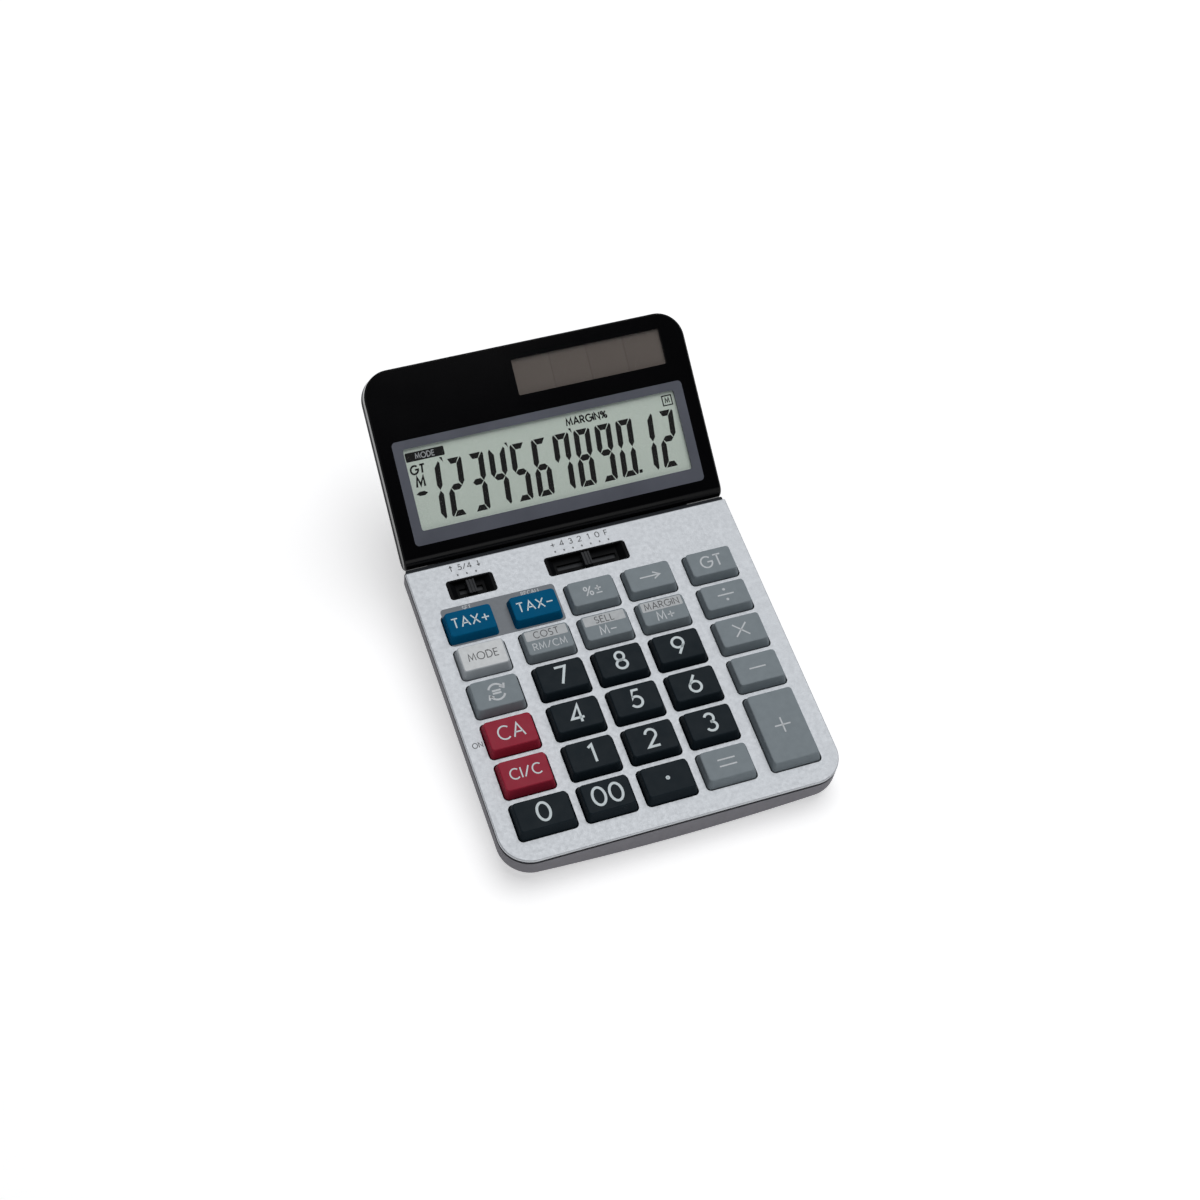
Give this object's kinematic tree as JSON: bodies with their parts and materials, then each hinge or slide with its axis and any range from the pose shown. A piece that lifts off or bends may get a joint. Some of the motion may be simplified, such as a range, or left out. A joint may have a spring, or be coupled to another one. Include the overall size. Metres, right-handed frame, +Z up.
{
  "type": "desk calculator",
  "caption": "Desktop calculator with a tilting display head, solar cell, slide switches and spring-backed key caps on a sloping aluminium deck.",
  "frame": {"origin": "centre of the bounding box on the plane of the rubber feet", "axes": "+X to the user's right, +Y from the user towards the display, +Z up"},
  "size_m": [0.1112, 0.1651, 0.0594],
  "materials": {
    "key_black": "moulded matt black",
    "key_grey": "moulded matt grey",
    "key_red": "moulded matt red",
    "key_blue": "moulded matt blue",
    "key_light": "moulded pale grey",
    "plate_aluminium": "fine blasted and clear coated",
    "case_grey": "fine textured",
    "door_grey": "fine textured",
    "frame_black": "fine textured",
    "foot_rubber": "matt",
    "screw_steel": "zinc plated",
    "pin_steel": "ground",
    "cell_steel": "polished",
    "contact_metal": "nickel plated spring strip",
    "board_green": "solder mask",
    "mat_rubber": "silicone",
    "chip_black": "epoxy",
    "ribbon_amber": "polyimide film",
    "tray_black": "satin",
    "knob_black": "satin",
    "head_gloss_black": "high gloss",
    "head_satin_black": "fine textured",
    "surround_grey": "printed behind clear film",
    "lens_clear": "clear acrylic",
    "lcd_green_grey": "reflective liquid crystal panel",
    "solar_brown": "amorphous silicon cell"
  },
  "bodies": {
    "base": {"lower_case": "case_grey", "top_frame": "frame_black", "face_plate": "plate_aluminium", "rubber_feet": "foot_rubber", "battery_door": "door_grey", "battery_door_screw": "screw_steel", "coin_cell": "cell_steel", "battery_contacts": "contact_metal", "case_screws": "screw_steel", "board_screws": "screw_steel", "main_board": "board_green", "rubber_key_mat": "mat_rubber", "controller_chip": "chip_black", "base_ribbon": "ribbon_amber", "rounding_tray": "tray_black", "decimal_tray": "tray_black"},
    "head": {"head_front_cover": "head_gloss_black", "head_back_cover": "head_satin_black", "head_screws": "screw_steel", "display_surround": "surround_grey", "display_lens": "lens_clear", "lcd_glass": "lcd_green_grey", "contact_strip": "mat_rubber", "head_board": "board_green", "solar_cell": "solar_brown", "solar_window": "lens_clear", "head_ribbon": "ribbon_amber", "hinge_pins": "pin_steel", "hinge_washers": "pin_steel"},
    "rounding_knob": {"rounding_slider": "knob_black"},
    "decimal_knob": {"decimal_slider": "knob_black"},
    "press_key_0": {"key_0": "key_black"},
    "press_key_00": {"key_00": "key_black"},
    "press_key_point": {"key_point": "key_black"},
    "press_key_1": {"key_1": "key_black"},
    "press_key_2": {"key_2": "key_black"},
    "press_key_3": {"key_3": "key_black"},
    "press_key_4": {"key_4": "key_black"},
    "press_key_5": {"key_5": "key_black"},
    "press_key_6": {"key_6": "key_black"},
    "press_key_7": {"key_7": "key_black"},
    "press_key_8": {"key_8": "key_black"},
    "press_key_9": {"key_9": "key_black"},
    "press_key_equals": {"key_equals": "key_grey"},
    "press_key_plus": {"key_plus": "key_grey"},
    "press_key_minus": {"key_minus": "key_grey"},
    "press_key_multiply": {"key_multiply": "key_grey"},
    "press_key_divide": {"key_divide": "key_grey"},
    "press_key_convert": {"key_convert": "key_grey"},
    "press_key_cost": {"key_cost": "key_grey"},
    "press_key_sell": {"key_sell": "key_grey"},
    "press_key_margin": {"key_margin": "key_grey"},
    "press_key_percent": {"key_percent": "key_grey"},
    "press_key_backspace": {"key_backspace": "key_grey"},
    "press_key_grand_total": {"key_grand_total": "key_grey"},
    "press_key_clear": {"key_clear": "key_red"},
    "press_key_clear_all": {"key_clear_all": "key_red"},
    "press_key_tax_plus": {"key_tax_plus": "key_blue"},
    "press_key_tax_minus": {"key_tax_minus": "key_blue"},
    "press_key_mode": {"key_mode": "key_light"}
  },
  "joints": [
    {"name": "head_tilt", "type": "hinge", "parent": "base", "child": "head", "pos_m": [0, 0.03108, 0.02174], "axis": [1, 0, 0], "range_deg": [-30, 23]},
    {"name": "rounding_slide", "type": "slide", "parent": "base", "child": "rounding_knob", "axis": [1, 0, 0], "range_m": [-0.00308, 0.00308]},
    {"name": "decimal_slide", "type": "slide", "parent": "base", "child": "decimal_knob", "axis": [1, 0, 0], "range_m": [-0.00924, 0.00924]},
    {"name": "press_key_0", "type": "slide", "parent": "base", "child": "press_key_0", "axis": [0, -0.0872, 0.9962], "range_m": [-0.0012, 0], "stiffness_N_per_m": 300},
    {"name": "press_key_00", "type": "slide", "parent": "base", "child": "press_key_00", "axis": [0, -0.0872, 0.9962], "range_m": [-0.0012, 0], "stiffness_N_per_m": 300},
    {"name": "press_key_point", "type": "slide", "parent": "base", "child": "press_key_point", "axis": [0, -0.0872, 0.9962], "range_m": [-0.0012, 0], "stiffness_N_per_m": 300},
    {"name": "press_key_1", "type": "slide", "parent": "base", "child": "press_key_1", "axis": [0, -0.0872, 0.9962], "range_m": [-0.0012, 0], "stiffness_N_per_m": 300},
    {"name": "press_key_2", "type": "slide", "parent": "base", "child": "press_key_2", "axis": [0, -0.0872, 0.9962], "range_m": [-0.0012, 0], "stiffness_N_per_m": 300},
    {"name": "press_key_3", "type": "slide", "parent": "base", "child": "press_key_3", "axis": [0, -0.0872, 0.9962], "range_m": [-0.0012, 0], "stiffness_N_per_m": 300},
    {"name": "press_key_4", "type": "slide", "parent": "base", "child": "press_key_4", "axis": [0, -0.0872, 0.9962], "range_m": [-0.0012, 0], "stiffness_N_per_m": 300},
    {"name": "press_key_5", "type": "slide", "parent": "base", "child": "press_key_5", "axis": [0, -0.0872, 0.9962], "range_m": [-0.0012, 0], "stiffness_N_per_m": 300},
    {"name": "press_key_6", "type": "slide", "parent": "base", "child": "press_key_6", "axis": [0, -0.0872, 0.9962], "range_m": [-0.0012, 0], "stiffness_N_per_m": 300},
    {"name": "press_key_7", "type": "slide", "parent": "base", "child": "press_key_7", "axis": [0, -0.0872, 0.9962], "range_m": [-0.0012, 0], "stiffness_N_per_m": 300},
    {"name": "press_key_8", "type": "slide", "parent": "base", "child": "press_key_8", "axis": [0, -0.0872, 0.9962], "range_m": [-0.0012, 0], "stiffness_N_per_m": 300},
    {"name": "press_key_9", "type": "slide", "parent": "base", "child": "press_key_9", "axis": [0, -0.0872, 0.9962], "range_m": [-0.0012, 0], "stiffness_N_per_m": 300},
    {"name": "press_key_equals", "type": "slide", "parent": "base", "child": "press_key_equals", "axis": [0, -0.0872, 0.9962], "range_m": [-0.0012, 0], "stiffness_N_per_m": 300},
    {"name": "press_key_plus", "type": "slide", "parent": "base", "child": "press_key_plus", "axis": [0, -0.0872, 0.9962], "range_m": [-0.0012, 0], "stiffness_N_per_m": 300},
    {"name": "press_key_minus", "type": "slide", "parent": "base", "child": "press_key_minus", "axis": [0, -0.0872, 0.9962], "range_m": [-0.0012, 0], "stiffness_N_per_m": 300},
    {"name": "press_key_multiply", "type": "slide", "parent": "base", "child": "press_key_multiply", "axis": [0, -0.0872, 0.9962], "range_m": [-0.0012, 0], "stiffness_N_per_m": 300},
    {"name": "press_key_divide", "type": "slide", "parent": "base", "child": "press_key_divide", "axis": [0, -0.0872, 0.9962], "range_m": [-0.0012, 0], "stiffness_N_per_m": 300},
    {"name": "press_key_convert", "type": "slide", "parent": "base", "child": "press_key_convert", "axis": [0, -0.0872, 0.9962], "range_m": [-0.0012, 0], "stiffness_N_per_m": 300},
    {"name": "press_key_cost", "type": "slide", "parent": "base", "child": "press_key_cost", "axis": [0, -0.0872, 0.9962], "range_m": [-0.0012, 0], "stiffness_N_per_m": 300},
    {"name": "press_key_sell", "type": "slide", "parent": "base", "child": "press_key_sell", "axis": [0, -0.0872, 0.9962], "range_m": [-0.0012, 0], "stiffness_N_per_m": 300},
    {"name": "press_key_margin", "type": "slide", "parent": "base", "child": "press_key_margin", "axis": [0, -0.0872, 0.9962], "range_m": [-0.0012, 0], "stiffness_N_per_m": 300},
    {"name": "press_key_percent", "type": "slide", "parent": "base", "child": "press_key_percent", "axis": [0, -0.0872, 0.9962], "range_m": [-0.0012, 0], "stiffness_N_per_m": 300},
    {"name": "press_key_backspace", "type": "slide", "parent": "base", "child": "press_key_backspace", "axis": [0, -0.0872, 0.9962], "range_m": [-0.0012, 0], "stiffness_N_per_m": 300},
    {"name": "press_key_grand_total", "type": "slide", "parent": "base", "child": "press_key_grand_total", "axis": [0, -0.0872, 0.9962], "range_m": [-0.0012, 0], "stiffness_N_per_m": 300},
    {"name": "press_key_clear", "type": "slide", "parent": "base", "child": "press_key_clear", "axis": [0, -0.0872, 0.9962], "range_m": [-0.0012, 0], "stiffness_N_per_m": 300},
    {"name": "press_key_clear_all", "type": "slide", "parent": "base", "child": "press_key_clear_all", "axis": [0, -0.0872, 0.9962], "range_m": [-0.0012, 0], "stiffness_N_per_m": 300},
    {"name": "press_key_tax_plus", "type": "slide", "parent": "base", "child": "press_key_tax_plus", "axis": [0, -0.0872, 0.9962], "range_m": [-0.0012, 0], "stiffness_N_per_m": 300},
    {"name": "press_key_tax_minus", "type": "slide", "parent": "base", "child": "press_key_tax_minus", "axis": [0, -0.0872, 0.9962], "range_m": [-0.0012, 0], "stiffness_N_per_m": 300},
    {"name": "press_key_mode", "type": "slide", "parent": "base", "child": "press_key_mode", "axis": [0, -0.0872, 0.9962], "range_m": [-0.0012, 0], "stiffness_N_per_m": 300}
  ]
}
